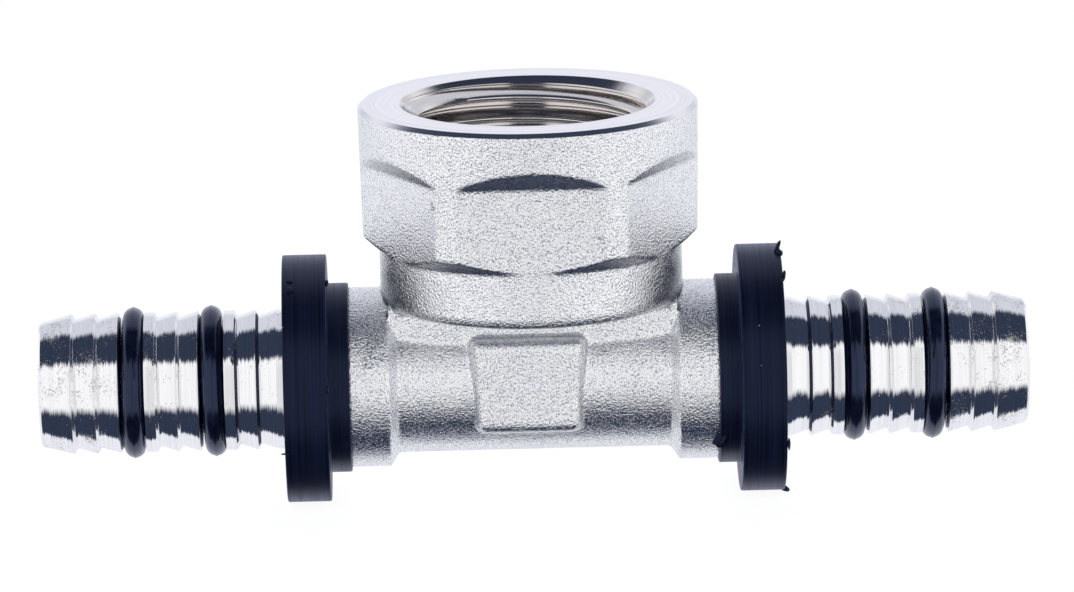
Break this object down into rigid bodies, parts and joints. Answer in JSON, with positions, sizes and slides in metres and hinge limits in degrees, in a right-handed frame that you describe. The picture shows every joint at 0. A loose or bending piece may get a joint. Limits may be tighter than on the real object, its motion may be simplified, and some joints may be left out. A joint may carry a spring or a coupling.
{
  "type": "press tee",
  "caption": "Nickel-plated press tee: barbed tails with O-rings and black stop washers at both ends of the run, and a hexagonal branch with a female parallel thread.",
  "frame": {"origin": "where the axis of the run crosses the axis of the branch", "axes": "+X along the run towards the right-hand tail, +Z along the branch and out of its mouth, -Y towards the side with the raised pad"},
  "size_m": [0.0834, 0.0286, 0.0339],
  "materials": {
    "nickel_plated_brass": "forged brass with bright nickel plating, grained where it is as forged and turned bright on the tails, the mouth and the thread",
    "black_washer": "satin blue-black moulded plastic with fine turning marks",
    "oring_rubber": "smooth, lightly greased blue-black rubber"
  },
  "bodies": {
    "root": {"body": "nickel_plated_brass", "washer_left": "black_washer", "washer_right": "black_washer", "oring_left_outer": "oring_rubber", "oring_left_inner": "oring_rubber", "oring_right_inner": "oring_rubber", "oring_right_outer": "oring_rubber"}
  },
  "joints": []
}
